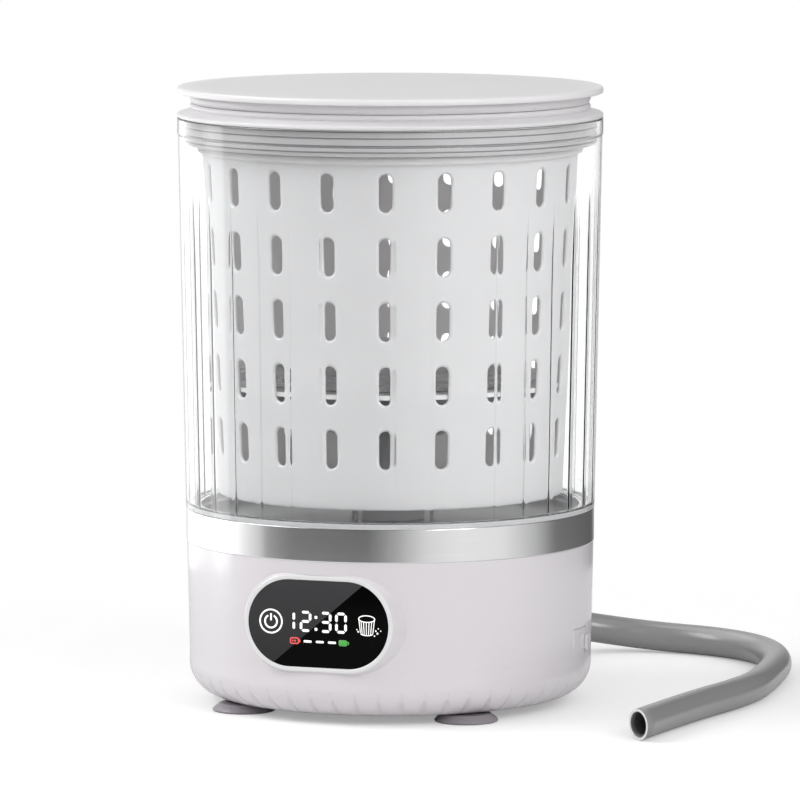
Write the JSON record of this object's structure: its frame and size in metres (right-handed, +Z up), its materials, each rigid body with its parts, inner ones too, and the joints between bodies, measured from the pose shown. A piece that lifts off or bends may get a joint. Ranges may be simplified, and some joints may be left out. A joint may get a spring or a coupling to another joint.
{
  "type": "portable washing machine",
  "caption": "Small round washing machine with a clear tub, a slotted spin basket, a lift-off lid, a black display panel and a curled drain hose.",
  "frame": {"origin": "on the floor below the centre of the feet, on the drum's axis", "axes": "+Z up along the drum's axis, -Y towards the display, +X towards the charging inlet"},
  "size_m": [0.339, 0.3751, 0.3632],
  "materials": {
    "white_gloss": "gloss",
    "white_satin": "satin",
    "clear_plastic": "clear gloss",
    "pale_seal": "soft matt",
    "dark_seal": "soft matt",
    "satin_silver": "satin",
    "foot_rubber": "satin",
    "grey_plastic": "matt",
    "natural_plastic": "satin",
    "bright_steel": "brushed",
    "brass_gear": "machined",
    "black_glass": "gloss",
    "green_board": "satin",
    "cell_metal": "satin",
    "grey_hose": "semi-gloss"
  },
  "bodies": {
    "machine": {"tub": "clear_plastic", "tub_base": "clear_plastic", "tub_hub": "clear_plastic", "shaft_seal": "dark_seal", "tub_gasket": "dark_seal", "trim_ring": "satin_silver", "base_shell": "white_gloss", "bottom_cover": "white_satin", "feet": "foot_rubber", "chassis_plate": "white_satin", "gear_case": "grey_plastic", "gear_cover": "grey_plastic", "bearings": "bright_steel", "motor_can": "bright_steel", "motor_mount": "bright_steel", "display_bezel": "white_gloss", "display_glass": "black_glass", "display_board": "green_board", "control_board": "green_board", "charge_socket": "bright_steel", "hinge_pin": "bright_steel", "battery_cells": "cell_metal", "battery_holder": "grey_plastic", "drain_elbow": "grey_plastic", "drain_outlet": "grey_plastic", "drain_hose": "grey_hose", "tub_screws": "bright_steel", "cover_screws": "bright_steel", "foot_screws": "bright_steel"},
    "lid": {"lid_cap": "white_gloss", "lid_ring": "white_gloss", "lid_seal": "pale_seal"},
    "basket": {"basket": "white_satin", "basket_floor": "white_satin", "spin_tube": "bright_steel", "basket_nut": "bright_steel"},
    "agitator": {"wash_plate": "white_satin", "wash_shaft": "bright_steel", "driven_gear": "natural_plastic", "wash_screw": "bright_steel"},
    "rotor": {"motor_shaft": "bright_steel", "pinion": "brass_gear"},
    "port_cover": {"port_cover": "white_gloss"}
  },
  "joints": [
    {"name": "lid_lift", "type": "slide", "parent": "machine", "child": "lid", "axis": [0, 0, 1], "range_m": [0, 0.08]},
    {"name": "basket_spin", "type": "hinge", "parent": "machine", "child": "basket", "pos_m": [0, 0, 0.2], "axis": [0, 0, 1], "continuous": true},
    {"name": "wash_spin", "type": "hinge", "parent": "machine", "child": "agitator", "pos_m": [0, 0, 0.19], "axis": [0, 0, 1], "continuous": true},
    {"name": "rotor_spin", "type": "hinge", "parent": "machine", "child": "rotor", "pos_m": [-0.039, 0, 0.08], "axis": [0, 0, 1], "continuous": true},
    {"name": "port_cover_swing", "type": "hinge", "parent": "machine", "child": "port_cover", "pos_m": [0.11603, -0.0093, 0.0385], "axis": [0, 0, -1], "range_deg": [0, 90]}
  ],
  "couplings": [
    {"joint": "rotor_spin", "follows": "wash_spin", "ratio": -3.3333}
  ]
}
